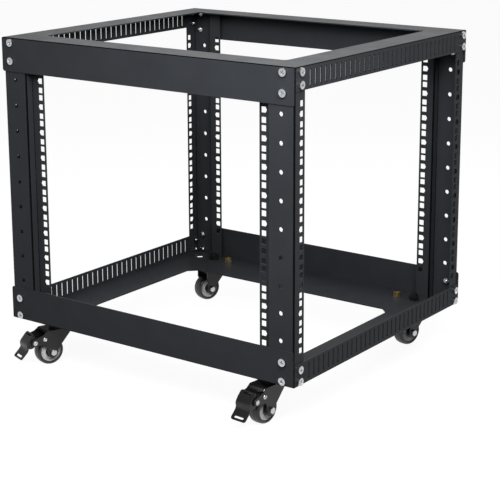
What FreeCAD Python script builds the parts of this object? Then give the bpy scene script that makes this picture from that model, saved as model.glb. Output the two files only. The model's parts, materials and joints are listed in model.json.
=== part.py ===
import FreeCAD, Part
import os
import Sketcher

# Four post open frame rack, nine units high, on four swivel casters.
# Millimetres. +Z is up, +Y runs from the front to the rear, +X to the right as seen from the front.
# The origin is on the floor, under the middle of the frame.

V = FreeCAD.Vector
doc = FreeCAD.newDocument("open_frame_rack")
sheet = doc.addObject("Spreadsheet::Sheet", "Sizes")

# The driving dimensions, in millimetres or degrees.
SIZES = [
    ("frame_width", 604, "outside to outside of the side rails"),
    ("frame_depth", 530, "outside to outside of the end rails"),
    ("frame_height", 500, "underside of the lower ring to the top of the upper one"),
    ("caster_height", 78, "floor to the underside of the lower ring"),
    ("steel", 2, "thickness of all folded sheet"),
    ("end_face", 58, "height of the front and rear rail faces"),
    ("side_face", 36.5, "height of the side rail faces"),
    ("corner_gap", 0.6, "open seam between a side rail face and an end rail face"),
    ("face_round", 4, "rounding of the free corners of the end rail faces"),
    ("fold", 1.9, "outer radius of the folds round a ring's flat"),
    ("top_lip", 53, "width of the flat frame of the upper ring"),
    ("top_lip_round", 8, "inner corner radius of the upper ring"),
    ("base_lip_side", 76, "width of the lower ring's flat along the sides"),
    ("base_lip_end", 113, "width of the lower ring's flat along the front and rear"),
    ("base_lip_cut", 16, "inner corner chamfer of the lower ring"),
    ("slot_margin", 40.5, "end of a side rail to its first vent slot, at least"),
    ("slot_pitch", 14, "distance between vent slots"),
    ("slot_width", 3.4, "width of a vent slot"),
    ("slot_length", 26.5, "height of a vent slot, end to end"),
    ("slot_middle", 19.5, "flat of the ring to the middle of a slot"),
    ("screw_hole", 6.6, "clearance hole of the corner screws"),
    ("end_screw_out", 6, "middle of a post's web to a screw in an end rail"),
    ("end_screw_near", 8.5, "flat of the ring to the nearer screw of an end rail"),
    ("end_screw_step", 31, "distance between the two screws of an end rail"),
    ("side_screw_end", 14, "end of the frame to a screw in a side rail"),
    ("side_screw_near", 8, "flat of the ring to the nearer screw of a side rail"),
    ("side_screw_step", 19.5, "distance between the two screws of a side rail"),
    ("unit_pitch", 44.45, "height of one rack unit"),
    ("unit_margin", 49.5, "end of a post to its first unit, at least"),
    ("hole_step", 15.875, "middle hole of a unit to its upper and lower holes"),
    ("square_hole", 9.5, "side of a square cage nut hole"),
    ("bay_width", 450, "clear opening between the mounting flanges"),
    ("hole_edge", 7.55, "free edge of a flange to its column of square holes"),
    ("pointer_tip", 1.7, "how far the pointed middle hole reaches past the square"),
    ("pointer_cut", 0.9, "how far its shoulders stand back from the square's corners"),
    ("mount_flange", 25, "width of the mounting flange that stands inwards of the web"),
    ("post_step", 15, "recess of the mounting flange behind the web"),
    ("post_side", 27, "depth of the post's side flange"),
    ("bend", 3, "outer radius of the folds in a post"),
    ("web_hole", 7.5, "round hole in the middle of the web, one for each unit"),
    ("caster_side", 71, "side of the frame to the swivel axis of a caster"),
    ("caster_end", 36, "end of the frame to the swivel axis of a caster"),
    ("foot_step", 36, "swivel axis to the levelling foot nut and to the spare hole"),
    ("foot_thread", 8, "thread of the levelling foot nut"),
    ("foot_nut_across", 13, "levelling foot nut across its flats"),
    ("foot_nut_height", 8, "height of the levelling foot nut"),
    ("spare_hole", 14, "spare hole beside the caster"),
    ("stem", 10, "diameter of the caster's threaded stem"),
    ("stem_nut_across", 17, "stem nut across its flats"),
    ("stem_nut_height", 8, "height of the stem nut"),
    ("stem_end", 4, "thread that stands out of the stem nut"),
    ("stem_collar", 18, "diameter of the collar under the ring"),
    ("stem_collar_height", 6.5, "height of that collar"),
    ("stem_head", 16, "diameter of the riveted head inside the fork"),
    ("stem_head_height", 3, "height of that head"),
    ("fit", 0.05, "radial running clearance of pins and axles"),
    ("gap", 0.3, "axial running clearance"),
    ("wheel", 50, "wheel diameter"),
    ("tyre_width", 22, "width of the tyre"),
    ("rim", 38, "diameter of the rim under the tyre"),
    ("tyre_shoulder", 2.6, "chamfer of the tyre's shoulders"),
    ("rim_width", 19, "width of the hub's drum under the rim"),
    ("rim_inset", 1.5, "end of the drum to the face of the rim"),
    ("hub", 21, "diameter of the hub"),
    ("trail", 18, "swivel axis to wheel axle"),
    ("axle", 6, "diameter of the wheel axle"),
    ("axle_head", 10.5, "diameter of the axle's head"),
    ("axle_head_height", 4, "height of the axle's head"),
    ("fork_width", 36, "outside width of the fork"),
    ("fork_steel", 2, "thickness of the fork"),
    ("fork_top", 65, "floor to the top of the fork's plate"),
    ("fork_boss", 9.5, "radius of the fork round the axle"),
    ("fork_lead", 20, "reach of the fork's plate away from the wheel"),
    ("fork_tail", 28, "reach of the fork's plate over the wheel"),
    ("fork_cheek", 20, "height of a cheek at the tail of a fork without a brake"),
    ("swivel_head", 30, "diameter of the ball race housing"),
    ("race_lip", 2.2, "height of its wide part above the fork's plate"),
    ("pivot_out", 52, "swivel axis to the pedal's pivot"),
    ("pivot_up", 48, "floor to the pedal's pivot"),
    ("pivot", 5, "diameter of the pedal's pivot pin"),
    ("pivot_head", 8, "diameter of the pin's riveted heads"),
    ("pivot_head_height", 1.5, "height of those heads"),
    ("pivot_ear", 6.5, "reach of the fork behind the pedal's pivot"),
    ("pedal_reach", 36.5, "pivot to the free end of the pedal, measured level"),
    ("pedal_width", 26, "width of the pedal's tread"),
    ("pedal_thick", 3, "thickness of the pedal's tread"),
    ("pedal_slot", 17, "width of the slots in the pedal's tread"),
    ("lever_width", 22, "outside width across the pedal's two ears"),
    ("lever_steel", 3, "thickness of an ear of the pedal"),
    ("yaw_front_left", 250, "direction of the wheel from its swivel axis, degrees"),
    ("yaw_front_right", 265, "the same for the front right caster"),
    ("yaw_rear_left", 251, "the same for the rear left caster"),
    ("yaw_rear_right", 255, "the same for the rear right caster"),
]
for row, (alias, value, meaning) in enumerate(SIZES, start=1):
    sheet.set("A%d" % row, str(value))
    sheet.setAlias("A%d" % row, alias)
    sheet.set("B%d" % row, meaning)
doc.recompute()

# Places that several pieces share, as expressions of the sheet.
HALF_X = "Sizes.frame_width / 2"
HALF_Y = "Sizes.frame_depth / 2"
BASE = "Sizes.caster_height"
TOP = "(Sizes.caster_height + Sizes.frame_height)"
POST_X = "(Sizes.frame_width / 2 - Sizes.steel)"
POST_Y = "(Sizes.frame_depth / 2 - Sizes.steel)"
WEB = "(%s - Sizes.bay_width / 2 - Sizes.mount_flange)" % POST_X
WEB_MIDDLE = "(%s - %s / 2)" % (POST_X, WEB)
HOLE_COLUMN = "(Sizes.bay_width / 2 + Sizes.hole_edge)"
UNITS = "floor((Sizes.frame_height - 2 * Sizes.unit_margin) / Sizes.unit_pitch)"
SLOTS = "(floor((Sizes.frame_depth - 2 * Sizes.slot_margin) / Sizes.slot_pitch) + 1)"
FIRST_UNIT = ("(Sizes.caster_height + Sizes.frame_height / 2 - Sizes.unit_pitch * (%s - 1) / 2)" % UNITS)
parts = []


def worth(expression):
    """The present value of an expression of the sheet."""
    return float(sheet.evalExpression(expression))


def new_body(label):
    """A body whose label names its file."""
    body = doc.addObject("PartDesign::Body", label)
    body.Label = label
    parts.append(body)
    return body


def new_sketch(body, plane, away="0"):
    """A sketch on one of the body's own planes, moved along the plane's normal."""
    sketch = body.newObject("Sketcher::SketchObject", "outline")
    origin_plane = [f for f in body.Origin.OriginFeatures if f.Role == plane][0]
    sketch.AttachmentSupport = [(origin_plane, "")]
    sketch.MapMode = "FlatFace"
    sketch.setExpression("AttachmentOffset.Base.z", away)
    return sketch


def hold(sketch, kind, ends, expression):
    """A dimension of the sketch that follows the sheet."""
    index = sketch.addConstraint(Sketcher.Constraint(kind, *ends, worth(expression)))
    sketch.setExpression("Constraints[%d]" % index, expression)


def polygon(sketch, corners):
    """A closed outline of straight lines, each corner held from the origin."""
    points = [V(worth(x), worth(y), 0) for x, y in corners]
    first = sketch.GeometryCount
    count = len(points)
    for i in range(count):
        sketch.addGeometry(Part.LineSegment(points[i], points[(i + 1) % count]))
    for i, (x, y) in enumerate(corners):
        following = first + (i + 1) % count
        sketch.addConstraint(Sketcher.Constraint("Coincident", first + i, 2, following, 1))
        hold(sketch, "DistanceX", (-1, 1, first + i, 1), x)
        hold(sketch, "DistanceY", (-1, 1, first + i, 1), y)


def circle(sketch, x, y, diameter):
    """A round hole or boss."""
    centre = V(worth(x), worth(y), 0)
    index = sketch.addGeometry(Part.Circle(centre, V(0, 0, 1), worth(diameter) / 2))
    hold(sketch, "DistanceX", (-1, 1, index, 3), x)
    hold(sketch, "DistanceY", (-1, 1, index, 3), y)
    hold(sketch, "Diameter", (index,), diameter)


def folded(sketch, corners):
    """A closed outline of level and upright lines, with an arc at each corner that states a radius."""
    count = len(corners)
    points = [V(worth(x), worth(y), 0) for x, y, radius in corners]
    radii = [worth(radius) if radius else 0.0 for x, y, radius in corners]
    starts, ends = [], []
    for i in range(count):
        back = (points[i - 1] - points[i]).normalize()
        ahead = (points[(i + 1) % count] - points[i]).normalize()
        ends.append(points[i] + back * radii[i])
        starts.append(points[i] + ahead * radii[i])
    lines = []
    for i in range(count):
        line = Part.LineSegment(starts[i], ends[(i + 1) % count])
        lines.append(sketch.addGeometry(line))
        level = abs(points[i].y - points[(i + 1) % count].y) < 1e-9
        if level:
            sketch.addConstraint(Sketcher.Constraint("Horizontal", lines[i]))
            hold(sketch, "DistanceY", (-1, 1, lines[i], 1), corners[i][1])
        else:
            sketch.addConstraint(Sketcher.Constraint("Vertical", lines[i]))
            hold(sketch, "DistanceX", (-1, 1, lines[i], 1), corners[i][0])
    for i, (x, y, radius) in enumerate(corners):
        if not radius:
            sketch.addConstraint(Sketcher.Constraint("Coincident", lines[i - 1], 2, lines[i], 1))
            continue
        centre = ends[i] + starts[i] - points[i]
        turn = (points[i] - points[i - 1]).cross(points[(i + 1) % count] - points[i]).z
        middle = centre + (points[i] - centre).normalize() * radii[i]
        arc = sketch.addGeometry(Part.Arc(ends[i], middle, starts[i]))
        near, far = (1, 2) if turn > 0 else (2, 1)
        sketch.addConstraint(Sketcher.Constraint("Tangent", lines[i - 1], 2, arc, near))
        sketch.addConstraint(Sketcher.Constraint("Tangent", arc, far, lines[i], 1))
        hold(sketch, "Radius", (arc,), radius)


def slot(sketch, x, y, width, length):
    """An upright slot whose half round ends are three straight pieces each, because slots are so many."""
    corners = []
    for end, first in (("+", 0), ("-", 180)):
        middle = "%s %s (%s - %s) / 2" % (y, end, length, width)
        for angle in (first, first + 60, first + 120, first + 180):
            corners.append(("%s + %s / 2 * cos(%d)" % (x, width, angle),
                            "%s + %s / 2 * sin(%d)" % (middle, width, angle)))
    polygon(sketch, corners)


def even_sided(sketch, x, y, across, sides):
    """A closed outline of equal sides about a point, from its size across the flats."""
    corner = "%s / (2 * cos(%g))" % (across, 180 / sides)
    angles = [360 / sides * i for i in range(sides)]
    polygon(sketch, [("%s + %s * cos(%g)" % (x, corner, angle), "%s + %s * sin(%g)" % (y, corner, angle))
                     for angle in angles])


def pad(body, sketch, length, middle=False, down=False):
    """Material raised from a sketch."""
    feature = body.newObject("PartDesign::Pad", "Pad")
    feature.Profile = sketch
    feature.setExpression("Length", length)
    feature.Midplane = middle
    feature.Reversed = down
    doc.recompute()
    return feature


def cut(body, sketch, length=None):
    """Material taken away on both sides of a sketch, right through unless a length is given."""
    before = body.Tip.Shape.Volume
    feature = body.newObject("PartDesign::Pocket", "Pocket")
    feature.Profile = sketch
    feature.Midplane = True
    if length:
        feature.setExpression("Length", length)
    else:
        feature.Type = "ThroughAll"
    doc.recompute()
    if not feature.Shape.Volume < before - 0.01:
        raise ValueError("%s: %s removes nothing" % (body.Label, feature.Name))
    return feature


def round_edges(body, chosen, radius):
    """Rounds the edges that a test chooses."""
    base = body.Tip
    names = ["Edge%d" % n for n, edge in enumerate(base.Shape.Edges, start=1) if chosen(edge)]
    feature = body.newObject("PartDesign::Fillet", "Fillet")
    feature.Base = (base, names)
    feature.setExpression("Radius", radius)
    doc.recompute()
    return feature


def repeat(body, features, sketch, axis, length, count):
    """Copies of features at an even pitch along an axis of a sketch."""
    pattern = body.newObject("PartDesign::LinearPattern", "Pattern")
    pattern.Originals = features
    pattern.Direction = (sketch, [axis])
    pattern.setExpression("Length", length)
    pattern.setExpression("Occurrences", count)
    body.Tip = pattern
    doc.recompute()
    return pattern


def turned(body, corners):
    """A solid of revolution about the Y axis, from (radius, distance along the axis) corners."""
    sketch = new_sketch(body, "XY_Plane")
    polygon(sketch, corners)
    return around(body, sketch)


def around(body, sketch):
    """Turns a sketch once round its own upright axis."""
    doc.recompute()
    feature = body.newObject("PartDesign::Revolution", "Revolution")
    feature.Profile = sketch
    feature.ReferenceAxis = (sketch, ["V_Axis"])
    feature.Angle = 360
    doc.recompute()
    return feature


def make_ring(label, flat, inward, opening):
    """One welded ring of folded sheet: a flat frame and four faces, with slots and screw holes.

    flat is the height of the ring's outer flat, and inward is + or - towards the rack's middle.
    """
    body = new_body(label)
    plate = new_sketch(body, "XY_Plane", flat)
    polygon(plate, [("-" + HALF_X, "-" + HALF_Y), (HALF_X, "-" + HALF_Y),
                    (HALF_X, HALF_Y), ("-" + HALF_X, HALF_Y)])
    opening(plate)
    down = inward == "-"
    pad(body, plate, "Sizes.steel", down=down)
    far = "%s %s Sizes.end_face" % (flat, inward)
    for plane in (POST_Y, "-" + HALF_Y):
        face = new_sketch(body, "XZ_Plane", plane)
        folded(face, [("-" + HALF_X, flat, None), (HALF_X, flat, None),
                      (HALF_X, far, "Sizes.face_round"), ("-" + HALF_X, far, "Sizes.face_round")])
        pad(body, face, "Sizes.steel")
    sides = new_sketch(body, "XY_Plane", flat)
    reach = "(%s - Sizes.corner_gap)" % POST_Y
    for side in ("-", ""):
        polygon(sides, [(side + HALF_X, "-" + reach), (side + HALF_X, reach),
                        (side + POST_X, reach), (side + POST_X, "-" + reach)])
    pad(body, sides, "Sizes.side_face", down=down)
    half_x, half_y, level = worth(HALF_X), worth(HALF_Y), worth(flat)

    def on_fold(point):
        """Whether a point lies on the outer edge of the ring's flat."""
        on_side = abs(abs(point.x) - half_x) < 1e-4
        on_end = abs(abs(point.y) - half_y) < 1e-4
        return abs(point.z - level) < 1e-4 and (on_side or on_end)

    round_edges(body, lambda edge: all(on_fold(edge.valueAt(edge.getParameterByLength(edge.Length * t)))
                                       for t in (0.25, 0.5, 0.75)), "min(Sizes.fold; 0.95 * Sizes.steel)")

    height = "%s %s Sizes.slot_middle" % (flat, inward)
    vent = new_sketch(body, "YZ_Plane")
    first = "-Sizes.slot_pitch * (%s - 1) / 2" % SLOTS
    slot(vent, first, height, "Sizes.slot_width", "Sizes.slot_length")
    vents = cut(body, vent)
    repeat(body, [vents], vent, "H_Axis",
           "Sizes.slot_pitch * (%s - 1)" % SLOTS, SLOTS)

    end_screws = new_sketch(body, "XZ_Plane")
    side_screws = new_sketch(body, "YZ_Plane")
    for way in ("-", ""):
        screw_holes(end_screws, side_screws, way, way, flat, inward)
    cut(body, end_screws)
    cut(body, side_screws)
    return body


def screw_holes(end_sketch, side_sketch, side, end, flat, inward):
    """The eight sided clearance holes of one corner: two in the end face and two in the side face."""
    for step in ("0", "1"):
        even_sided(end_sketch, "%s(%s + Sizes.end_screw_out)" % (side, WEB_MIDDLE),
                   "%s %s (Sizes.end_screw_near + %s * Sizes.end_screw_step)" % (flat, inward, step),
                   "Sizes.screw_hole", 8)
        even_sided(side_sketch, "%s(%s - Sizes.side_screw_end)" % (end, HALF_Y),
                   "%s %s (Sizes.side_screw_near + %s * Sizes.side_screw_step)" % (flat, inward, step),
                   "Sizes.screw_hole", 8)


def top_opening(sketch):
    """The large opening of the upper ring, with rounded corners."""
    x = "(%s - Sizes.top_lip)" % HALF_X
    y = "(%s - Sizes.top_lip)" % HALF_Y
    radius = "Sizes.top_lip_round"
    folded(sketch, [("-" + x, "-" + y, radius), (x, "-" + y, radius),
                    (x, y, radius), ("-" + x, y, radius)])


def base_opening(sketch):
    """The opening of the lower ring, with cut corners."""
    x = "(%s - Sizes.base_lip_side)" % HALF_X
    y = "(%s - Sizes.base_lip_end)" % HALF_Y
    near_x = "(%s - Sizes.base_lip_cut)" % x
    near_y = "(%s - Sizes.base_lip_cut)" % y
    polygon(sketch, [("-" + near_x, "-" + y), (near_x, "-" + y), (x, "-" + near_y), (x, near_y),
                     (near_x, y), ("-" + near_x, y), ("-" + x, near_y), ("-" + x, "-" + near_y)])


def make_post(label, side, end):
    """One post: a folded profile with a web, a stepped mounting flange and a side flange."""
    body = new_body(label)

    def at(across, along, radius=None):
        """A corner of the profile, from the post's outer edge and from its outer face."""
        return ("%s(%s - (%s))" % (side, POST_X, across),
                "%s(%s - (%s))" % (end, POST_Y, along), radius)

    steel = "Sizes.steel"
    outer = "Sizes.bend"
    inner = "(Sizes.bend - Sizes.steel)"
    web = WEB
    step = "Sizes.post_step"
    reach = "%s - Sizes.bay_width / 2" % POST_X
    corners = [
        at("0", "0", outer),
        at(web, "0", outer),
        at(web, step, inner),
        at(reach, step),
        at(reach, "%s + %s" % (step, steel)),
        at("%s - %s" % (web, steel), "%s + %s" % (step, steel), outer),
        at("%s - %s" % (web, steel), steel, inner),
        at(steel, steel, inner),
        at(steel, "Sizes.post_side"),
        at("0", "Sizes.post_side"),
    ]
    profile = new_sketch(body, "XY_Plane", "%s + %s" % (BASE, steel))
    folded(profile, corners)
    pad(body, profile, "Sizes.frame_height - 2 * Sizes.steel")

    column = side + HOLE_COLUMN
    flange_holes = new_sketch(body, "XZ_Plane")
    cage_holes(flange_holes, column, side)
    flange_cut = cut(body, flange_holes)

    depth = "%s(%s - Sizes.post_side + Sizes.hole_edge)" % (end, POST_Y)
    side_holes = new_sketch(body, "YZ_Plane", side + POST_X)
    cage_holes(side_holes, depth, end)
    side_cut = cut(body, side_holes, "4 * Sizes.steel")

    web_hole = new_sketch(body, "XZ_Plane")
    circle(web_hole, side + WEB_MIDDLE, FIRST_UNIT, "Sizes.web_hole")
    web_cut = cut(body, web_hole)
    repeat(body, [flange_cut, side_cut, web_cut], web_hole, "V_Axis",
           "Sizes.unit_pitch * (%s - 1)" % UNITS, UNITS)

    end_screws = new_sketch(body, "XZ_Plane")
    side_screws = new_sketch(body, "YZ_Plane", side + POST_X)
    for flat, inward in ((BASE, "+"), (TOP, "-")):
        screw_holes(end_screws, side_screws, side, end, flat, inward)
    cut(body, end_screws)
    cut(body, side_screws, "4 * Sizes.steel")
    return body


def cage_holes(sketch, column, outward):
    """The three holes of the lowest unit: two squares and, between them, one that points outwards."""
    half = "Sizes.square_hole / 2"
    left = "%s - %s" % (column, half)
    right = "%s + %s" % (column, half)
    for way in ("-", "+"):
        low = "%s %s Sizes.hole_step - %s" % (FIRST_UNIT, way, half)
        high = "%s %s Sizes.hole_step + %s" % (FIRST_UNIT, way, half)
        polygon(sketch, [(left, low), (right, low), (right, high), (left, high)])
    sign = outward if outward else "+"
    back = "-" if sign == "+" else "+"
    inner = "%s %s %s" % (column, back, half)
    shoulder = "%s %s (%s - Sizes.pointer_cut)" % (column, sign, half)
    tip = "%s %s (%s + Sizes.pointer_tip)" % (column, sign, half)
    low = "%s - %s" % (FIRST_UNIT, half)
    high = "%s + %s" % (FIRST_UNIT, half)
    polygon(sketch, [(inner, low), (shoulder, low), (tip, FIRST_UNIT), (shoulder, high), (inner, high)])


def make_nut(label, x, y, across, height, bore):
    """A hexagon nut on the lower ring's flat."""
    body = new_body(label)
    outline = new_sketch(body, "XY_Plane")
    even_sided(outline, "0", "0", across, 6)
    circle(outline, "0", "0", bore)
    pad(body, outline, height)
    body.setExpression("Placement.Base.x", x)
    body.setExpression("Placement.Base.y", y)
    body.setExpression("Placement.Base.z", "%s + Sizes.steel" % BASE)
    return body


def place(body, side, end, yaw, out="0", up="0"):
    """Stand a piece at its caster, turned to the caster's direction."""
    body.Placement = FreeCAD.Placement(V(0, 0, 0), FreeCAD.Rotation(V(0, 0, 1), worth(yaw)))
    body.setExpression("Placement.Rotation.Angle", yaw)
    body.setExpression("Placement.Base.x", "%s(%s - Sizes.caster_side) + (%s) * cos(%s)"
                       % (side, HALF_X, out, yaw))
    body.setExpression("Placement.Base.y", "%s(%s - Sizes.caster_end) + (%s) * sin(%s)"
                       % (end, HALF_Y, out, yaw))
    body.setExpression("Placement.Base.z", up)


def make_stem(label, side, end, yaw):
    """The caster's stem: riveted head, shaft, collar under the ring and thread above it."""
    body = new_body(label)
    sketch = new_sketch(body, "XZ_Plane")
    shaft = "Sizes.stem / 2"
    collar = "Sizes.stem_collar / 2"
    head = "Sizes.stem_head / 2"
    head_top = "Sizes.fork_top - Sizes.fork_steel - Sizes.gap"
    collar_base = "%s - Sizes.stem_collar_height" % BASE
    top = "%s + Sizes.steel + Sizes.stem_nut_height + Sizes.stem_end" % BASE
    polygon(sketch, [
        ("0", "%s - Sizes.stem_head_height" % head_top),
        (head, "%s - Sizes.stem_head_height" % head_top),
        (head, head_top), (shaft, head_top), (shaft, collar_base),
        (collar, collar_base), (collar, BASE), (shaft, BASE), (shaft, top), ("0", top)])
    around(body, sketch)
    place(body, side, end, yaw)
    return body


def make_fork(label, side, end, yaw, braked):
    """The caster's fork: two tapered cheeks under a plate, and the ball race housing on top."""
    body = new_body(label)
    cheek = new_sketch(body, "XZ_Plane")
    axle_x = "Sizes.trail"
    axle_z = "Sizes.wheel / 2"
    boss = "Sizes.fork_boss"
    top = "Sizes.fork_top"
    pivot_x = "Sizes.pivot_out"
    pivot_z = "Sizes.pivot_up"
    ear = "Sizes.pivot_ear"
    tail = "Sizes.fork_tail"
    outline = [("-Sizes.fork_lead", top), ("-Sizes.fork_lead", "%s - 2 * Sizes.fork_steel" % top),
               ("%s - 0.94 * %s" % (axle_x, boss), "%s + 0.34 * %s" % (axle_z, boss)),
               (axle_x, axle_z),
               ("%s + 0.99 * %s" % (axle_x, boss), "%s + 0.14 * %s" % (axle_z, boss))]
    if braked:
        outline += [("%s + 1.15 * %s" % (axle_x, boss), "%s - 1.7 * %s" % (pivot_z, ear)),
                    ("%s + 1.6 * %s" % (axle_x, boss), "%s - %s" % (pivot_z, ear)),
                    (pivot_x, "%s - %s" % (pivot_z, ear)), (pivot_x, pivot_z),
                    ("%s + 0.35 * %s" % (pivot_x, ear), "%s + 0.93 * %s" % (pivot_z, ear)),
                    ("%s + 1.2 * %s" % (tail, ear), "%s - 0.9 * %s" % (top, ear)), (tail, top)]
    else:
        outline += [("%s - Sizes.fork_steel" % tail, "%s - 1.2 * Sizes.fork_cheek" % top),
                    (tail, "%s - Sizes.fork_cheek" % top), (tail, top)]
    polygon(cheek, outline)
    pad(body, cheek, "Sizes.fork_width", middle=True)
    bosses = new_sketch(body, "XZ_Plane")
    circle(bosses, axle_x, axle_z, "2 * %s" % boss)
    if braked:
        circle(bosses, pivot_x, pivot_z, "2 * %s" % ear)
    pad(body, bosses, "Sizes.fork_width", middle=True)

    inside = new_sketch(body, "YZ_Plane")
    half = "(Sizes.fork_width / 2 - Sizes.fork_steel)"
    under = "Sizes.fork_top - Sizes.fork_steel"
    polygon(inside, [("-" + half, "0"), (half, "0"), (half, under), ("-" + half, under)])
    cut(body, inside)

    housing = new_sketch(body, "XZ_Plane")
    race_top = "%s - Sizes.stem_collar_height - Sizes.gap" % BASE
    lip = "Sizes.swivel_head / 2"
    neck = "0.8 * Sizes.swivel_head / 2"
    lip_top = "(%s + Sizes.race_lip)" % top
    polygon(housing, [("0", under), (lip, under), (lip, lip_top), (neck, lip_top), (neck, race_top),
                      ("0", race_top)])
    around(body, housing)
    bore = new_sketch(body, "XY_Plane", top)
    circle(bore, "0", "0", "Sizes.stem + 2 * Sizes.fit")
    cut(body, bore, "4 * Sizes.stem_collar_height")
    holes = new_sketch(body, "XZ_Plane")
    circle(holes, axle_x, axle_z, "Sizes.axle")
    if braked:
        circle(holes, pivot_x, pivot_z, "Sizes.pivot")
    cut(body, holes)
    place(body, side, end, yaw)
    return body


def headed_pin(label, diameter, head, head_height):
    """A pin through both cheeks of the fork, with a head on the outside of each."""
    body = new_body(label)
    shaft_edge = "%s / 2" % diameter
    head_edge = "%s / 2" % head
    cheek = "Sizes.fork_width / 2"
    outside = "(%s + %s)" % (cheek, head_height)
    turned(body, [("0", "-" + outside), (head_edge, "-" + outside), (head_edge, "-" + cheek),
                  (shaft_edge, "-" + cheek), (shaft_edge, cheek), (head_edge, cheek),
                  (head_edge, outside), ("0", outside)])
    return body


def make_wheel(name, side, end, yaw):
    """Axle, hub, rim and tyre of one caster, all turned about the axle."""
    middle = "Sizes.wheel / 2"
    axle = headed_pin("caster_axle_" + name, "Sizes.axle", "Sizes.axle_head", "Sizes.axle_head_height")
    hub_half = "(Sizes.fork_width / 2 - Sizes.fork_steel - Sizes.gap)"
    hub = new_body("wheel_hub_" + name)
    bore = "(Sizes.axle / 2 + Sizes.fit)"
    drum = "Sizes.hub / 2"
    waist = "Sizes.hub / 3"
    rim_half = "Sizes.rim_width / 2"
    turned(hub, [(bore, "-" + hub_half), (waist, "-" + hub_half), (waist, "-" + rim_half),
                 (drum, "-" + rim_half), (drum, rim_half), (waist, rim_half),
                 (waist, hub_half), (bore, hub_half)])
    rim = new_body("wheel_rim_" + name)
    rim_face = "(%s - Sizes.rim_inset)" % rim_half
    bead = "Sizes.rim / 2"
    turned(rim, [(drum, "-" + rim_face), (bead, "-" + rim_face), (bead, rim_face), (drum, rim_face)])
    tyre = new_body("wheel_tyre_" + name)
    half = "Sizes.tyre_width / 2"
    tread = "Sizes.wheel / 2"
    shoulder = "Sizes.tyre_shoulder"
    turned(tyre, [(bead, "-" + half), ("%s - %s" % (tread, shoulder), "-" + half),
                  (tread, "-%s + %s" % (half, shoulder)), (tread, "%s - %s" % (half, shoulder)),
                  ("%s - %s" % (tread, shoulder), half), (bead, half)])
    for body in (axle, hub, rim, tyre):
        place(body, side, end, yaw, "Sizes.trail", middle)


def make_pedal(corner, side, end, yaw):
    """The brake pedal of one caster, a waved tread on two ears, and the pin that it turns on."""
    pin = headed_pin("brake_pin_" + corner, "Sizes.pivot", "Sizes.pivot_head", "Sizes.pivot_head_height")
    body = new_body("brake_pedal_" + corner)
    tread = new_sketch(body, "XZ_Plane")
    spine = [(0.15, 0.62), (0.26, 0.575), (0.40, 0.49), (0.51, 0.33), (0.56, 0.14), (0.54, -0.055),
             (0.50, -0.22), (0.52, -0.385), (0.645, -0.535), (0.82, -0.645), (1.0, -0.725)]
    ribbon(tread, [(worth("Sizes.pedal_reach") * x, worth("Sizes.pedal_reach") * z) for x, z in spine],
           "Sizes.pedal_thick")
    pad(body, tread, "Sizes.pedal_width", middle=True)
    arm = [(0, -0.137), (0.507, -0.205), (0.548, -0.15), (0.589, 0.082), (0.562, 0.219), (0.507, 0.26),
           (0.219, 0.137), (0, 0.137)]
    for away in ("Sizes.lever_width / 2 - Sizes.lever_steel", "-Sizes.lever_width / 2"):
        ear = new_sketch(body, "XZ_Plane", away)
        polygon(ear, from_pivot(arm))
        pad(body, ear, "Sizes.lever_steel")
        eye = new_sketch(body, "XZ_Plane", away)
        circle(eye, "0", "0", "0.274 * Sizes.pedal_reach")
        pad(body, eye, "Sizes.lever_steel")
    slots = new_sketch(body, "XZ_Plane")
    polygon(slots, from_pivot([(0.208, 0.51), (0.28, 0.477), (0.334, 0.606), (0.263, 0.638)]))
    polygon(slots, from_pivot([(0.745, -0.712), (0.83, -0.759), (0.899, -0.619), (0.814, -0.573)]))
    cut(body, slots, "Sizes.pedal_slot")
    bore = new_sketch(body, "XZ_Plane")
    circle(bore, "0", "0", "Sizes.pivot + 2 * Sizes.fit")
    cut(body, bore)
    for piece in (pin, body):
        place(piece, side, end, yaw, "Sizes.pivot_out", "Sizes.pivot_up")


def ribbon(sketch, spine, thickness):
    """A closed outline of even thickness: a chain of arcs on both sides of a spine, and straight ends.

    Each arc passes through three points, so the spine has an odd number of them.
    """
    middle = [V(x, z, 0) for x, z in spine]
    half = worth(thickness) / 2
    sides = ([], [])
    for i, point in enumerate(middle):
        run = middle[min(i + 1, len(middle) - 1)] - middle[max(i - 1, 0)]
        normal = V(-run.y, run.x, 0).normalize()
        sides[0].append(point + normal * half)
        sides[1].append(point - normal * half)
    for points in sides:
        for i in range(0, len(points) - 2, 2):
            sketch.addGeometry(Part.Arc(points[i], points[i + 1], points[i + 2]))
    for end in (0, -1):
        sketch.addGeometry(Part.LineSegment(sides[0][end], sides[1][end]))


def from_pivot(corners):
    """Corners of the pedal, shares of its reach from its pivot, as text for a sketch."""
    return [("%s * Sizes.pedal_reach" % x, "%s * Sizes.pedal_reach" % z) for x, z in corners]


CORNERS = [("front_left", "-", "-"), ("front_right", "", "-"),
           ("rear_left", "-", ""), ("rear_right", "", "")]

make_ring("top_frame", TOP, "-", top_opening)
base = make_ring("bottom_frame", BASE, "+", base_opening)
base_holes = new_sketch(base, "XY_Plane", BASE)
for corner, side, end in CORNERS:
    hole_y = "%s(%s - Sizes.caster_end)" % (end, HALF_Y)
    circle(base_holes, "%s(%s - Sizes.caster_side)" % (side, HALF_X), hole_y,
           "Sizes.stem + 4 * Sizes.fit")
    circle(base_holes, "%s(%s - Sizes.caster_side - Sizes.foot_step)" % (side, HALF_X), hole_y,
           "Sizes.foot_thread")
    circle(base_holes, "%s(%s - Sizes.caster_side + Sizes.foot_step)" % (side, HALF_X), hole_y,
           "Sizes.spare_hole")
cut(base, base_holes, "4 * Sizes.steel")

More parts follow.
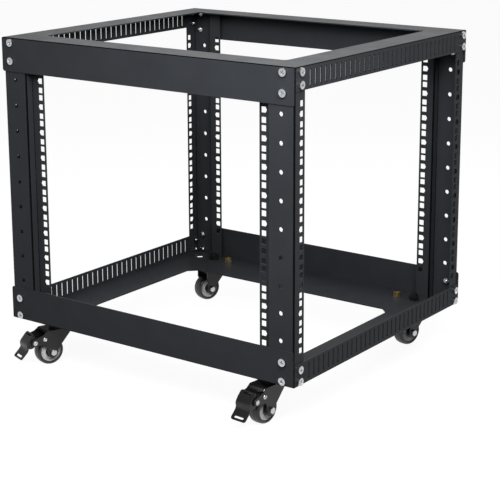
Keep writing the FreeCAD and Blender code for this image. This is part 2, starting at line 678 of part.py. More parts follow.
for corner, side, end in CORNERS:
    make_post("post_" + corner, side, end)
    yaw = "Sizes.yaw_" + corner
    stem_x = "%s(%s - Sizes.caster_side)" % (side, HALF_X)
    foot_x = "%s(%s - Sizes.caster_side - Sizes.foot_step)" % (side, HALF_X)
    stem_y = "%s(%s - Sizes.caster_end)" % (end, HALF_Y)
    make_nut("foot_nut_" + corner, foot_x, stem_y, "Sizes.foot_nut_across", "Sizes.foot_nut_height",
             "Sizes.foot_thread")
    make_nut("stem_nut_" + corner, stem_x, stem_y, "Sizes.stem_nut_across", "Sizes.stem_nut_height",
             "Sizes.stem")
    make_stem("caster_stem_" + corner, side, end, yaw)
    braked = end == "-"
    make_fork("caster_fork_" + corner, side, end, yaw, braked)
    make_wheel(corner, side, end, yaw)
    if braked:
        make_pedal(corner, side, end, yaw)

doc.recompute()
for item in doc.Objects:
    if "Invalid" in item.State or "Error" in item.State:
        raise ValueError("%s failed: %s" % (item.Label, item.State))
for part in parts:
    if part.Shape.isNull() or not part.Shape.isValid() or len(part.Shape.Solids) != 1:
        raise ValueError("%s is not one valid solid" % part.Label)

os.makedirs("parts", exist_ok=True)
for part in parts:
    part.Shape.exportStep(os.path.join("parts", part.Label + ".step"))
    box = part.Shape.BoundBox
    print("%-26s %9.0f mm3  x %.1f..%.1f  y %.1f..%.1f  z %.1f..%.1f" % (
        part.Label, part.Shape.Volume, box.XMin, box.XMax, box.YMin, box.YMax, box.ZMin, box.ZMax))
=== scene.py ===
# %% [markdown]
# A four post open frame rack on casters. Two rings of folded sheet steel, an upper and a lower one, are
# joined by four folded posts with rows of holes, and the whole frame is powder coated black. The packed
# model already holds those folded sheets at their real size, so this file gives them their finishes and
# adds what is too small or too rounded for it: screws, nuts, threads, rivets, the moulded wheels and the
# pressed brake pedals.

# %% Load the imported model
import json
import math
import bpy
import bmesh
import numpy as np
from mathutils import Matrix, Vector


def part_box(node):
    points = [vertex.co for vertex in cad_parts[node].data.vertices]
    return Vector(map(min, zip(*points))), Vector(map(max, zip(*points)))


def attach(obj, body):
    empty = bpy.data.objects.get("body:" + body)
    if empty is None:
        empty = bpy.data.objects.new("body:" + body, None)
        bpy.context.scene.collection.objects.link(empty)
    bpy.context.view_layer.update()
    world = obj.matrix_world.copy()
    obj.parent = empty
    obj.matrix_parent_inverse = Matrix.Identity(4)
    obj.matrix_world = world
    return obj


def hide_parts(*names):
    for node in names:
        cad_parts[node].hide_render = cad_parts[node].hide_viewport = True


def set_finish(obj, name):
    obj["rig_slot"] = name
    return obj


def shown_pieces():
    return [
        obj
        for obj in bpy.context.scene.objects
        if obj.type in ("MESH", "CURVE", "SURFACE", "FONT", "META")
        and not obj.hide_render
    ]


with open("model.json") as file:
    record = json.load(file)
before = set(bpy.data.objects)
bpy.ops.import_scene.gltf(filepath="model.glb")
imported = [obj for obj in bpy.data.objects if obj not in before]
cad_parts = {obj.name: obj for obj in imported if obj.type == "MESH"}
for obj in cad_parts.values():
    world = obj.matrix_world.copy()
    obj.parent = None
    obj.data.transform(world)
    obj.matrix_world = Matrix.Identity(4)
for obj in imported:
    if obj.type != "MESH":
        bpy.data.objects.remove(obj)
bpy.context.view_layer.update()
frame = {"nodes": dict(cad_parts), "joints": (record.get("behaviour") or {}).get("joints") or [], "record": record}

MM = 0.001

# %% [markdown]
# Every new piece here is a surface that numpy works out on a grid: one parameter runs along the rows of
# the grid, the other along its columns. A lathe shape is such a grid too, with the profile along the rows
# and the angle along the columns. Whole arrays are computed at once, which is fast, and the same helper
# turns any list of grids into one mesh.

# %% Turn grids of points into a mesh
CORNERS = {"front_left": (-1, -1), "front_right": (1, -1), "rear_left": (-1, 1), "rear_right": (1, 1)}
MERGE, COLLAPSE = 1e-6, 1e-7


def grid_quads(rows, columns, wrap_rows, wrap_columns):
    """Corner numbers of every quad: a point, its right neighbour, the one below that, the one below."""
    r = np.arange(rows if wrap_rows else rows - 1)
    c = np.arange(columns if wrap_columns else columns - 1)
    r, c = np.meshgrid(r, c, indexing="ij")
    down, right = (r + 1) % rows, (c + 1) % columns
    quads = np.stack([r * columns + c, r * columns + right, down * columns + right, down * columns + c], -1)
    return quads.reshape(-1, 4)


def piece(name, grids, body, slot, sharp=35):
    """One mesh from grids: points (rows, columns, 3) in mm, wrap_rows, wrap_columns, and the quads to keep."""
    points, quads, start = [], [], 0
    for grid, wrap_rows, wrap_columns, *keep in grids:
        rows, columns = grid.shape[:2]
        points.append(grid.reshape(-1, 3))
        found = grid_quads(rows, columns, wrap_rows, wrap_columns) + start
        quads.append(found[keep[0].ravel()] if keep else found)
        start += rows * columns
    points, quads = np.concatenate(points) * MM, np.concatenate(quads)
    mesh = bpy.data.meshes.new(name)
    mesh.from_pydata(points.tolist(), [], quads.tolist())
    shape = bmesh.new()
    shape.from_mesh(mesh)
    bmesh.ops.delete(shape, geom=[v for v in shape.verts if not v.link_faces], context="VERTS")
    bmesh.ops.remove_doubles(shape, verts=shape.verts, dist=MERGE)
    bmesh.ops.dissolve_degenerate(shape, edges=shape.edges, dist=COLLAPSE)
    bmesh.ops.recalc_face_normals(shape, faces=shape.faces)
    shape.to_mesh(mesh)
    shape.free()
    mesh.shade_smooth()
    mesh.set_sharp_from_angle(angle=math.radians(sharp))
    thing = bpy.data.objects.new(name, mesh)
    bpy.context.scene.collection.objects.link(thing)
    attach(thing, body)
    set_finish(thing, slot)
    return thing


def lathe(profile, turns=48):
    """A profile of (radius, height) pairs, turned about the z axis: x is r cos a and y is r sin a."""
    radius, height = np.array(profile, float).T
    angle = np.linspace(0, 2 * np.pi, turns, endpoint=False)
    x = radius[:, None] * np.cos(angle)
    y = radius[:, None] * np.sin(angle)
    z = np.broadcast_to(height[:, None], x.shape)
    return np.stack([x, y, z], -1)


def stand(points, origin, out, side=(0, 0, 1)):
    """Moves points to origin with their z axis along out, and their x axis as near to side as it gets."""
    out = np.array(out, float) / np.linalg.norm(out)
    across = np.array(side, float) - np.dot(side, out) * out
    if np.linalg.norm(across) < 1e-6:
        across = np.array([1.0, 0, 0]) - out[0] * out
    across /= np.linalg.norm(across)
    return points @ np.stack([across, np.cross(out, across), out]) + np.array(origin, float)


print("one lathe shape of two points:", lathe([(1, 0), (1, 1)]).shape)

# %% [markdown]
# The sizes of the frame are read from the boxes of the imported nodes, so that every screw stays in its hole
# when the frame changes. Each caster gets a small frame of its own: its x axis points from the swivel to
# the wheel, its y axis lies along the axle, and z is up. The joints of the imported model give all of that.

# %% Places on the frame
HALF_X, HALF_Y, TOP = np.array(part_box("top_frame")[1]) / MM
BASE = np.array(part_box("bottom_frame")[0])[2] / MM
SHEET = 2.0
joints = {j["name"]: j for j in frame["joints"]}
casters = {}
for corner in CORNERS:
    swivel = np.array(joints["swivel_turn_" + corner]["pos_m"]) / MM
    axle = np.array(joints["wheel_roll_" + corner]["pos_m"]) / MM
    along_y = np.array(joints["wheel_roll_" + corner]["axis"], float)
    along_x = np.cross(along_y, (0, 0, 1))
    casters[corner] = (np.array([swivel[0], swivel[1], 0]), np.stack([along_x, along_y, (0, 0, 1)]))
    TRAIL = float(np.linalg.norm(axle[:2] - swivel[:2]))
    AXLE_Z = float(axle[2])


def at_caster(points, corner):
    """Points of a caster's own frame, in the frame of the rack."""
    origin, axes = casters[corner]
    return points @ axes + origin


print("frame half width %.1f, half depth %.1f, trail %.1f mm" % (HALF_X, HALF_Y, TRAIL))

# %% [markdown]
# The rings are held to the posts by pan head screws with a cross recess. The head is a polar grid: the
# height is a dome that falls off with the radius, and near the middle the cross is taken away. A smooth
# step between 0 and 1 across the edge of each arm gives the recess its sloping walls.

# %% Pan head screws with a cross recess
def smooth(edge0, edge1, x):
    """0 below edge0, 1 above edge1, and a smooth curve between them."""
    t = np.clip((x - edge0) / (edge1 - edge0), 0, 1)
    return t * t * (3 - 2 * t)


def screw_head(radius, height, recess, turns=56):
    """Dome h(r) = height * (1 - 0.13 (r / R)^4), less a cross of two arms that get shallower outwards."""
    r = np.concatenate([np.linspace(0, recess * 1.1, 15), np.linspace(recess * 1.25, radius, 6)])
    a = np.linspace(0, 2 * np.pi, turns, endpoint=False)
    rr, aa = np.meshgrid(r, a, indexing="ij")
    x, y = rr * np.cos(aa), rr * np.sin(aa)
    dome = height * (1 - 0.13 * (rr / radius) ** 4)
    arm = np.minimum(np.abs(x), np.abs(y))
    inside = (1 - smooth(0.42, 0.75, arm)) * (1 - smooth(recess * 0.82, recess, rr))
    top = np.stack([x, y, dome - inside * (2.6 - 0.35 * rr)], -1)
    rim = lathe([(radius, height * 0.30), (radius - 0.15, 0.0), (0.0, 0.0)], turns)
    return np.concatenate([top, rim])


def hex_nut(across, bore, height, turns=60):
    """A ring whose outer radius is across / 2 / cos(a) within each 60 degrees, with coned corners."""
    a = np.linspace(0, 2 * np.pi, turns, endpoint=False)
    face = across / 2 * 0.97
    flat = across / 2 / np.cos((a + np.pi / 6) % (np.pi / 3) - np.pi / 6)
    drop = (flat - face) * 0.6
    rows = [(bore, 0), (face, 0), (flat, drop), (flat, height - drop), (face, height),
            (bore + 0.5, height), (bore, height - 0.5)]
    return np.stack([np.stack([r * np.cos(a), r * np.sin(a), z + 0 * a], -1) for r, z in rows])


def thread(radius, length, pitch, turns=32):
    """A screw thread: the radius falls and rises with the fraction of (z / pitch - angle / full turn)."""
    rows = int(length / pitch * 8) + 2
    z = np.linspace(0, length, rows)
    a = np.linspace(0, 2 * np.pi, turns, endpoint=False)
    zz, aa = np.meshgrid(z, a, indexing="ij")
    wave = np.abs(((zz / pitch - aa / (2 * np.pi)) % 1) * 2 - 1)
    end = smooth(0, pitch, length - zz)
    rr = radius - 0.55 * pitch * wave - (1 - end) * 0.6
    body = np.stack([rr * np.cos(aa), rr * np.sin(aa), zz], -1)
    return np.concatenate([lathe([(0.01, 0)], turns), body, lathe([(0.01, length)], turns)])


head = screw_head(radius=6.4, height=4.6, recess=3.5)
print("one screw head:", head.shape[0] * head.shape[1], "points")

# %% [markdown]
# Two screws hold each ring to each post from the front or the rear, and two from the side, so there are
# 32 in all. Each has a nut inside the post. A screw that someone has tightened by hand never lines up with
# its neighbours, so every cross gets a different turn.

# %% Place the corner screws and their nuts
# In each row of screws: from the frame's edge, from the ring's flat to the nearer screw, and between the two.
END_EDGE, END_NEAR, END_STEP = 21, 8.5, 31
SIDE_EDGE, SIDE_NEAR, SIDE_STEP = 14, 8, 19.5
rng = np.random.default_rng(7)
for ring, flat, inward in (("top", TOP, -1), ("bottom", BASE, 1)):
    screws, nuts = [], []
    for sx, sy in CORNERS.values():
        spots = [((sx * (HALF_X - END_EDGE), sy * HALF_Y, flat + inward * (END_NEAR + END_STEP * k)),
                  (0, sy, 0)) for k in (0, 1)]
        spots += [((sx * HALF_X, sy * (HALF_Y - SIDE_EDGE), flat + inward * (SIDE_NEAR + SIDE_STEP * k)),
                   (sx, 0, 0)) for k in (0, 1)]
        for spot, out in spots:
            turn = rng.uniform(0, np.pi / 2)
            side = (math.sin(turn) * abs(out[1]), math.sin(turn) * abs(out[0]), math.cos(turn))
            screws.append((stand(head, spot, out, side), False, True))
            behind, away = np.array(spot) - np.array(out) * (2 * SHEET), np.negative(out)
            nut = hex_nut(across=10, bore=3, height=5)
            end = thread(radius=3, length=8.5, pitch=1.0, turns=20)
            nuts.append((stand(nut, behind, away, side), True, True))
            nuts.append((stand(end, behind, away, side), False, True))
    piece("corner_screws_" + ring, screws, "rack", "zinc")
    made = piece("corner_nuts_" + ring, nuts, "rack", "zinc")
    print(made.name, len(made.data.polygons), "faces")

# %% [markdown]
# The stem of each caster goes through the lower ring and is held by a nut. The end that stands out of the
# nut is threaded. The thread is a grid wound round the stem, and starts a little inside the nut, so that
# no gap shows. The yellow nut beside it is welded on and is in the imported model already.

# %% Threads of the stems
INSIDE_NUT, PAST_STEM = 0.5, 0.8
for corner in CORNERS:
    stem_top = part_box("caster_stem_" + corner)[1][2] / MM
    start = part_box("stem_nut_" + corner)[1][2] / MM - INSIDE_NUT
    swivel = casters[corner][0]
    ridge = thread(radius=5.3, length=stem_top + PAST_STEM - start, pitch=1.5)
    ridge = stand(ridge, (swivel[0], swivel[1], start), (0, 0, 1))
    piece("stem_thread_" + corner, [(ridge, False, True)], "rack", "black_steel")
print("stem threads end at", round(float(stem_top) + PAST_STEM, 1), "mm")

# %% [markdown]
# Each wheel is moulded: a dark soft tyre with round shoulders, a pale grey rim with a stepped face, and a
# dark hub with the seal of its bearing. All are lathe shapes about the axle, so their profiles are
# written as radius and distance from the wheel's middle. The tyre has fine grooves beside its tread.

# %% Tyre, rim and hub
def both_sides(half):
    """A closed profile from one half of it: the half, then its mirror image in reverse."""
    half = np.array(half, float)
    return np.concatenate([half, (half * (1, -1))[::-1]])


tyre_profile = both_sides([(25.0, 1.5), (24.95, 3.4), (24.6, 3.6), (24.6, 4.0), (24.85, 4.2), (24.6, 6.4),
                           (24.0, 8.3), (23.1, 9.7), (22.2, 10.6), (21.2, 10.9), (20.2, 11.0), (19.4, 10.6),
                           (18.9, 9.4)])
rim_profile = both_sides([(18.9, 9.2), (18.3, 9.6), (17.6, 9.6), (17.2, 8.6), (15.2, 7.9), (14.8, 8.2),
                          (14.4, 8.2), (14.0, 7.7), (11.4, 8.4), (10.9, 9.2), (10.4, 9.2)])
hub_profile = both_sides([(10.45, 8.0), (10.45, 9.9), (9.9, 10.4), (8.6, 10.4), (8.3, 9.9), (7.3, 9.9),
                          (7.0, 12.0), (6.6, 12.4), (5.4, 12.4)])


def on_axle(profile, turns, corner):
    """A closed lathe shape whose z axis becomes the axle of the caster."""
    points = lathe(profile, turns)[..., [0, 2, 1]]
    return [(at_caster(points + np.array([TRAIL, 0, AXLE_Z]), corner), True, True)]


for corner in CORNERS:
    body = "wheel_" + corner
    tyre = piece("tyre_" + corner, on_axle(tyre_profile, 72, corner), body, "tyre", sharp=60)
    piece("rim_face_" + corner, on_axle(rim_profile, 64, corner), body, "grey_plastic")
    piece("hub_face_" + corner, on_axle(hub_profile, 48, corner), body, "black_plastic")
    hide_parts("wheel_tyre_" + corner)
print("wheels made, tyre faces:", len(tyre.data.polygons))

# %% [markdown]
# The axle is a bolt with a zinc hexagon head, and the fork of a braked caster is riveted twice. A rivet is
# a low dome with a dimple in its middle, where the tool has spread it.

# %% Axle heads and rivets
CHEEK = 18
RIVETS = ((33, 51.6), (52, 48))
rivet = lathe([(0, 0.2), (1.5, 0.3), (1.8, 1.3), (2.5, 1.75), (3.2, 1.5), (3.8, 0.8), (4.0, 0.0), (0, 0.0)], 28)


def axle_head(across, height):
    """A solid hexagon head: the nut's outside closed with a low dome on top."""
    ring = hex_nut(across, 0.01, height)
    ring[0] = (0, 0, 0)
    ring[-2] = ring[-3] * (0.8, 0.8, 1) + (0, 0, 0.35)
    ring[-1] = (0, 0, height + 0.5)
    return ring


def on_cheeks(shape, places, corner, side=(0, 0, 1)):
    """A shape on the outside of both cheeks of the fork, at each of some (out, up) places."""
    return [(at_caster(stand(shape, (out, way * CHEEK, up), (0, way, 0), side), corner), False, True)
            for out, up in places for way in (1, -1)]


for corner in CORNERS:
    bolt = axle_head(across=10, height=4.2)
    heads = on_cheeks(bolt, [(TRAIL, AXLE_Z)], corner, side=(0.4, 0, 1))
    made = piece("axle_head_" + corner, heads, "swivel_" + corner, "zinc")
    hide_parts("caster_axle_" + corner)
    if corner.startswith("front"):
        piece("fork_rivets_" + corner, on_cheeks(rivet, RIVETS, corner), "swivel_" + corner, "zinc")
print("one axle head:", bolt.shape[0] * bolt.shape[1], "points, one rivet:", rivet.shape[0] * rivet.shape[1])

# %% [markdown]
# The brake pedal is one pressed steel sheet: a waved tread with a long slot at each end, and two ears that
# turn on the pin. Its middle surface is a grid, with the wave along the rows and the width along the
# columns. Where a slot is, the middle columns are left out, and their neighbours follow its round ends.
# Solidify then gives the sheet its thickness, and Bevel breaks the cut edges, so that they catch the light.

# %% Brake pedals
PIVOT = np.array([52.0, 0.0, 48.0])
EAR_Y, EAR_HOLE = 13.6, 2.9
PEDAL_STEEL, PEDAL_EDGE = 2.2, 0.4
EDGE_COLUMNS, MIDDLE_COLUMNS = 4, 7
wave = np.array([(-1, 14), (3, 10), (7, 5.5), (10.5, 1.5), (13, -2), (13.2, -5.5), (12.2, -8.5),
                 (12.6, -12), (15.5, -16), (19.5, -20), (23.5, -24), (26.5, -27)])


def soft_wave(soften=4.0, samples=400):
    """The wave and its length: a moving mean of about soften mm over the lines between its points.

    The mean is short of points at both ends, so the wave is made longer first and its ends are cut off.
    """
    longer = np.concatenate([2.2 * wave[:1] - 1.2 * wave[1:2], wave, 2.2 * wave[-1:] - 1.2 * wave[-2:-1]])
    run = np.concatenate([[0], np.cumsum(np.linalg.norm(np.diff(longer, axis=0), axis=1))])
    run, length = run - run[1], run[-2] - run[1]
    dense = np.linspace(run[0], run[-1], samples)
    width = int(soften / (dense[1] - dense[0]))
    mean = [np.convolve(np.interp(dense, run, longer[:, k]), np.ones(width) / width, "same") for k in (0, 1)]
    inside = slice(width // 2 + 1, -width // 2 - 1)
    return dense[inside], mean[0][inside], mean[1][inside], length


def tread_sheet(half_width=14.8, corner=4.0, flat=8.0, slots=((4.4, 1.4), (46.5, 1.8)), nearest=0.03):
    """Rows lie along the softened wave. The half width narrows to sqrt(c^2 - (c - d)^2) at an end.

    A slot is two half circles of radius r, flat apart: its edge is flat + sqrt(r^2 - (u - middle)^2).
    """
    along, wave_x, wave_z, length = soft_wave()
    round_ = corner * (1 - np.cos(np.linspace(0, np.pi / 2, 7)))
    rows = [round_, length - round_, np.linspace(corner, length - corner, 34)]
    rows += [middle + r * np.sin(np.linspace(-np.pi / 2, np.pi / 2, 11)) for middle, r in slots]
    u = np.unique(np.round(np.concatenate(rows), 2))
    u = u[np.append(True, np.diff(u) > nearest)]
    near = np.clip(np.minimum(u, length - u), 0, corner)
    outer = half_width - corner + np.sqrt(corner ** 2 - (corner - near) ** 2)
    inner, cut = np.full(u.shape, flat), np.zeros(len(u) - 1, bool)
    for middle, r in slots:
        inner += np.sqrt(np.clip(r * r - (u - middle) ** 2, 0, None))
        cut |= np.abs((u[1:] + u[:-1]) / 2 - middle) < r
    share = np.linspace(0, 1, EDGE_COLUMNS)
    across = np.concatenate([-outer[:, None] + (outer - inner)[:, None] * share,
                             inner[:, None] * np.linspace(-0.75, 0.75, MIDDLE_COLUMNS),
                             inner[:, None] + (outer - inner)[:, None] * share], 1)
    keep = np.ones((len(u) - 1, across.shape[1] - 1), bool)
    keep[np.ix_(cut, np.arange(EDGE_COLUMNS - 1, EDGE_COLUMNS + MIDDLE_COLUMNS))] = False
    x, z = np.interp(u, along, wave_x), np.interp(u, along, wave_z)
    return np.stack([x[:, None] + 0 * across, across, z[:, None] + 0 * across], -1) + PIVOT, keep


def ear_sheet(away):
    """A ring round the pin: the outer radius follows the angle, 7 mm behind the pin and out to the tread."""
    a = np.radians(np.linspace(-180, 180, 60, endpoint=False))
    reach = np.interp(np.degrees(a), [-180, -95, -38, -22, -9, 8, 38, 73, 85, 130, 180],
                      [7, 7, 15, 14.2, 13, 10.4, 8.7, 10.2, 11, 7, 7])
    r = np.stack([EAR_HOLE + 0 * reach, (EAR_HOLE + reach) / 2, reach])
    return np.stack([r * np.cos(a), away + 0 * r, r * np.sin(a)], -1) + PIVOT


for corner in ("front_left", "front_right"):
    tread, keep = tread_sheet()
    grids = [(at_caster(tread, corner), False, False, keep)]
    grids += [(at_caster(ear_sheet(away), corner), False, True) for away in (EAR_Y, -EAR_Y)]
    pedal = piece("pedal_sheet_" + corner, grids, "pedal_" + corner, "black_steel")
    sheet = pedal.modifiers.new("sheet", "SOLIDIFY")
    sheet.thickness, sheet.offset = PEDAL_STEEL * MM, 0
    edge = pedal.modifiers.new("edge", "BEVEL")
    edge.width, edge.segments = PEDAL_EDGE * MM, 2
    edge.limit_method, edge.angle_limit = "ANGLE", math.radians(50)
    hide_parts("brake_pedal_" + corner)
print("pedal middle surface:", len(pedal.data.polygons), "faces")

# %% [markdown]
# Powder coat is a melted plastic film: black, half glossy, with a very fine skin like orange peel. Its
# colour hardly varies, so the surface is told by its reflections: a small noise moves the normal, and a
# larger and weaker one varies the roughness. All patterns read object coordinates, in metres, so their
# size is real: a scale of 900 gives grains of about a millimetre.

# %% Finishes
def ramp(tree, value, start, end, low=0.0, high=1.0):
    """low where value is at start, high where it is at end, and a straight line between them."""
    node = tree.nodes.new("ShaderNodeMapRange")
    for socket, number in (("From Min", start), ("From Max", end), ("To Min", low), ("To Max", high)):
        node.inputs[socket].default_value = number
    tree.links.new(value, node.inputs["Value"])
    return node.outputs["Result"]


def noise(tree, place, scale, detail):
    """The factor of a noise with features of about 1 / scale metres."""
    node = tree.nodes.new("ShaderNodeTexNoise")
    node.inputs["Scale"].default_value = scale
    node.inputs["Detail"].default_value = detail
    tree.links.new(place, node.inputs["Vector"])
    return node.outputs["Fac"]


def finish(name, color, metallic, roughness, grain, bump, tint=0.15, spread=0.06, broad=25, ior=1.5):
    """A principled surface with noise of two sizes: a fine one for bumps, a broad one for roughness and tint."""
    made = bpy.data.materials.new(name)
    made.use_nodes = True
    tree = made.node_tree
    surface = tree.nodes["Principled BSDF"]
    surface.inputs["Metallic"].default_value = metallic
    surface.inputs["IOR"].default_value = ior
    place = tree.nodes.new("ShaderNodeTexCoord").outputs["Object"]
    cloud = noise(tree, place, broad, 4)
    tone = tree.nodes.new("ShaderNodeMix")
    tone.data_type = "RGBA"
    tone.inputs["A"].default_value = (*[c * (1 - tint) for c in color], 1)
    tone.inputs["B"].default_value = (*[min(1, c * (1 + tint)) for c in color], 1)
    tree.links.new(cloud, tone.inputs["Factor"])
    tree.links.new(tone.outputs["Result"], surface.inputs["Base Color"])
    rough = ramp(tree, cloud, 0.3, 0.7, roughness - spread, roughness + spread)
    tree.links.new(rough, surface.inputs["Roughness"])
    relief = tree.nodes.new("ShaderNodeBump")
    relief.inputs["Strength"].default_value = bump
    relief.inputs["Distance"].default_value = 0.2 * MM
    tree.links.new(noise(tree, place, grain, 2), relief.inputs["Height"])
    tree.links.new(relief.outputs["Normal"], surface.inputs["Normal"])
    return made


finishes = {
    "powder_coat": finish("powder_coat", (0.037, 0.040, 0.0455), 0, 0.34, 900, 0.25, spread=0.04, ior=1.12),
    "black_steel": finish("black_steel", (0.010, 0.010, 0.011), 0, 0.30, 1500, 0.15, ior=1.4),
    "yellow_zinc": finish("yellow_zinc", (0.78, 0.62, 0.28), 1, 0.32, 2500, 0.2, 0.2, 0.08, 160),
    "zinc": finish("zinc", (0.50, 0.51, 0.525), 1, 0.26, 2500, 0.2, 0.1, 0.08, 300),
    "black_plastic": finish("black_plastic", (0.016, 0.016, 0.017), 0, 0.38, 2200, 0.25),
    "grey_plastic": finish("grey_plastic", (0.66, 0.66, 0.67), 0, 0.40, 2200, 0.2, 0.06),
    "tyre": finish("tyre", (0.012, 0.012, 0.013), 0, 0.36, 1800, 0.3),
}
print("finishes:", ", ".join(finishes))

# %% [markdown]
# Where the sheet is folded, and at the upright corners of the rings, a thin dark line runs along the edge.
# That line is painted shade: there the rounded sheet mirrors dark surroundings, and the line is only a
# millimetre or two wide, so its darkness is painted into the base colour and not modelled. The colour can't
# follow the camera, so it follows the part: on a flat wall the object's own normal lies along an axis, and
# its largest number is 1, while on a fold it is less. The upright corners are found by their place.

# %% Painted shade at the folds
FOLD_START, FOLD_FULL = 0.995, 0.96
CORNER_START, CORNER_FULL = -1.8 * MM, -1.2 * MM
# The near black colour of the painted shade on the folds and upright corners.
FOLD_SHADE_COLOR = (0.002, 0.002, 0.002)


def combine(tree, operation, one, other):
    """A math node of two sockets, such as the larger (MAXIMUM) or the smaller (MINIMUM) of them."""
    node = tree.nodes.new("ShaderNodeMath")
    node.operation = operation
    tree.links.new(one, node.inputs[0])
    tree.links.new(other, node.inputs[1])
    return node.outputs[0]


def absolute_parts(tree, vector, less=None):
    """The three numbers |x|, |y| and |z| of a vector, each less that of another vector if one is given."""
    size = tree.nodes.new("ShaderNodeVectorMath")
    size.operation = "ABSOLUTE"
    tree.links.new(vector, size.inputs[0])
    if less:
        back = tree.nodes.new("ShaderNodeVectorMath")
        back.operation = "SUBTRACT"
        back.inputs[1].default_value = less
        tree.links.new(size.outputs[0], back.inputs[0])
        size = back
    parts = tree.nodes.new("ShaderNodeSeparateXYZ")
    tree.links.new(size.outputs[0], parts.inputs[0])
    return parts.outputs


def paint_fold_shade(made, color):
    """Painted shade: the largest part of the object's normal falls from 0.995 to 0.96 on a fold, and color takes
    over.

    The same painted shade goes on an upright corner, where |x| - half width and |y| - half depth are both above
    -1.8 to -1.2 mm.
    """
    tree = made.node_tree
    base = tree.nodes["Principled BSDF"].inputs["Base Color"]
    plain = base.links[0].from_socket
    coordinates = tree.nodes.new("ShaderNodeTexCoord").outputs
    normal = absolute_parts(tree, coordinates["Normal"])
    largest = combine(tree, "MAXIMUM", combine(tree, "MAXIMUM", normal["X"], normal["Y"]), normal["Z"])
    place = absolute_parts(tree, coordinates["Object"], (HALF_X * MM, HALF_Y * MM, 0))
    nearer = combine(tree, "MINIMUM", place["X"], place["Y"])
    # Painted shade: this mix puts the near black colour into the base colour on folds and upright corners.
    fold = tree.nodes.new("ShaderNodeMix")
    fold.data_type = "RGBA"
    fold.inputs["B"].default_value = (*color, 1)
    shade_amount = combine(tree, "MAXIMUM", ramp(tree, largest, FOLD_START, FOLD_FULL),
                     ramp(tree, nearer, CORNER_START, CORNER_FULL))
    tree.links.new(shade_amount, fold.inputs["Factor"])
    tree.links.new(plain, fold.inputs["A"])
    tree.links.new(fold.outputs["Result"], base)


# Painted shade along every fold and upright corner of the powder coat.
paint_fold_shade(finishes["powder_coat"], FOLD_SHADE_COLOR)
print("powder coat nodes:", len(finishes["powder_coat"].node_tree.nodes))

# %% [markdown]
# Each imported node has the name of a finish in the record, and each new piece was given one above. The
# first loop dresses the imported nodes, and the second one the new pieces.

# %% Put the finishes on
slot_of = {s["node"]: s["material_slot"] for s in frame["record"]["subparts"]}
for name, thing in frame["nodes"].items():
    thing.data.materials.clear()
    thing.data.materials.append(finishes[slot_of[name]])
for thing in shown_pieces():
    if thing.name not in frame["nodes"]:
        thing.data.materials.clear()
        thing.data.materials.append(finishes[thing["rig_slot"]])

# %% [markdown]
# A black object shows what stands round it, so the surroundings matter more than the lamps. The world is
# white near the horizon and gets darker towards the zenith, which lets the flat top mirror a bright
# backdrop. That is what camera, glossy and transmission rays see; on dull surfaces the world gives one weak
# and even grey. The same rays see the floor as white paper that keeps a soft shadow, while the light that
# bounces off it is that of a much darker grey, so that the lower rails get little of it.

# %% Floor and world
ZENITH, AMBIENT = 0.3, 0.2
HORIZON_END, ZENITH_START = 0.05, 0.5
BOUNCE_GREY, SHADOW_GREY, GLOW = 0.08, 0.16, 0.93
floor_mesh = bpy.data.meshes.new("floor")
floor_mesh.from_pydata([(-6, -6, 0), (6, -6, 0), (6, 6, 0), (-6, 6, 0)], [], [(0, 1, 2, 3)])
floor = bpy.data.objects.new("floor", floor_mesh)
bpy.context.scene.collection.objects.link(floor)


def seen_rays(tree):
    """1 for a camera, glossy or transmission ray, and 0 for light that bounces off something dull."""
    ray = tree.nodes.new("ShaderNodeLightPath").outputs
    mirrored = combine(tree, "MAXIMUM", ray["Is Camera Ray"], ray["Is Glossy Ray"])
    return combine(tree, "MAXIMUM", mirrored, ray["Is Transmission Ray"])


paper = bpy.data.materials.new("paper")
paper.use_nodes = True
tree = paper.node_tree
tree.nodes.clear()
dull, shade = tree.nodes.new("ShaderNodeBsdfDiffuse"), tree.nodes.new("ShaderNodeBsdfDiffuse")
glow, white = tree.nodes.new("ShaderNodeEmission"), tree.nodes.new("ShaderNodeAddShader")
for shader, grey in ((dull, BOUNCE_GREY), (shade, SHADOW_GREY), (glow, GLOW)):
    shader.inputs["Color"].default_value = (grey, grey, grey, 1)
choose = tree.nodes.new("ShaderNodeMixShader")
tree.links.new(shade.outputs[0], white.inputs[0])
tree.links.new(glow.outputs[0], white.inputs[1])
tree.links.new(seen_rays(tree), choose.inputs[0])
tree.links.new(dull.outputs[0], choose.inputs[1])
tree.links.new(white.outputs[0], choose.inputs[2])
tree.links.new(choose.outputs[0], tree.nodes.new("ShaderNodeOutputMaterial").inputs["Surface"])
floor_mesh.materials.append(paper)

world = bpy.context.scene.world or bpy.data.worlds.new("world")
bpy.context.scene.world = world
world.use_nodes = True
tree = world.node_tree
way = tree.nodes.new("ShaderNodeSeparateXYZ")
tree.links.new(tree.nodes.new("ShaderNodeTexCoord").outputs["Generated"], way.inputs[0])
level = tree.nodes.new("ShaderNodeMix")
level.inputs["A"].default_value = AMBIENT
tree.links.new(seen_rays(tree), level.inputs["Factor"])
tree.links.new(ramp(tree, way.outputs["Z"], HORIZON_END, ZENITH_START, 1.0, ZENITH), level.inputs["B"])
tree.links.new(level.outputs["Result"], tree.nodes["Background"].inputs["Strength"])
tree.nodes["Background"].inputs["Color"].default_value = (1, 1, 1, 1)
print("floor", [round(v, 1) for v in floor.dimensions], "m, world nodes:", len(tree.nodes))

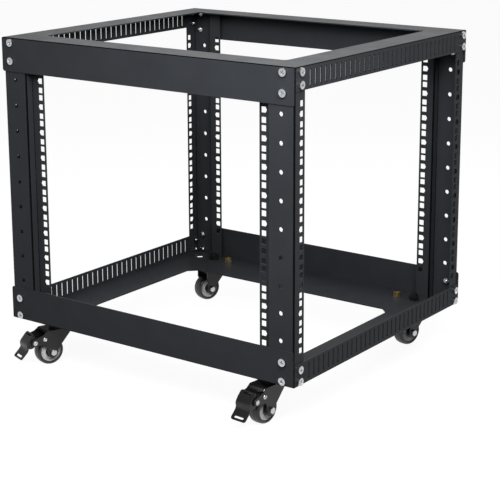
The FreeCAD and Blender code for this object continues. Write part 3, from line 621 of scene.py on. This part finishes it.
# %% [markdown]
# A wide soft lamp in front and above lights the screws and the folds, and a weaker one behind fills in.
# The camera stands where the photographer's did. It is given by the angles round the rack, and its lens by
# a focal length in pixels, because that is what a fit to the holes of the posts gives.

# %% Lamps and camera
PICTURE, SENSOR = (500, 478), 36
KEY, FILL = 22, 7


def soft_lamp(name, place, aim, size, energy):
    """A rectangular lamp that faces the point aim."""
    lamp = bpy.data.objects.new(name, bpy.data.lights.new(name, "AREA"))
    lamp.data.shape = "RECTANGLE"
    lamp.data.size, lamp.data.size_y = size
    lamp.data.energy = energy
    lamp.location = place
    lamp.rotation_euler = (Vector(place) - Vector(aim)).to_track_quat("Z", "Y").to_euler()
    bpy.context.scene.collection.objects.link(lamp)


def look_from(azimuth, elevation, roll, distance, target, focal_px, middle_px):
    """A camera on a sphere round target; focal length and picture centre are given in pixels."""
    camera = bpy.data.objects.new("camera", bpy.data.cameras.new("camera"))
    bpy.context.scene.collection.objects.link(camera)
    a, e = math.radians(azimuth), math.radians(elevation)
    back = Vector((math.sin(a) * math.cos(e), -math.cos(a) * math.cos(e), math.sin(e)))
    camera.location = Vector(target) + back * distance
    spin = back.to_track_quat("Z", "Y").to_matrix() @ Matrix.Rotation(math.radians(roll), 3, "Z")
    camera.rotation_euler = spin.to_euler()
    camera.data.lens = focal_px * SENSOR / PICTURE[0]
    camera.data.shift_x = (PICTURE[0] / 2 - middle_px[0]) / PICTURE[0]
    camera.data.shift_y = (middle_px[1] - PICTURE[1] / 2) / PICTURE[0]
    return camera


soft_lamp("key", place=(0.65, -0.85, 1.1), aim=(0, -0.1, 0.5), size=(1.3, 0.5), energy=KEY)
soft_lamp("fill", place=(-0.6, 1.1, 1.5), aim=(0, 0, 0.4), size=(1.4, 1.0), energy=FILL)
bpy.context.scene.view_settings.view_transform = "Standard"
camera = look_from(azimuth=36.08, elevation=13.50, roll=-0.195, distance=2.567,
                   target=(0.0262, 0, 0.3037), focal_px=1461, middle_px=(250, 190))
bpy.context.scene.camera = camera
print("camera at", [round(v, 3) for v in camera.location])
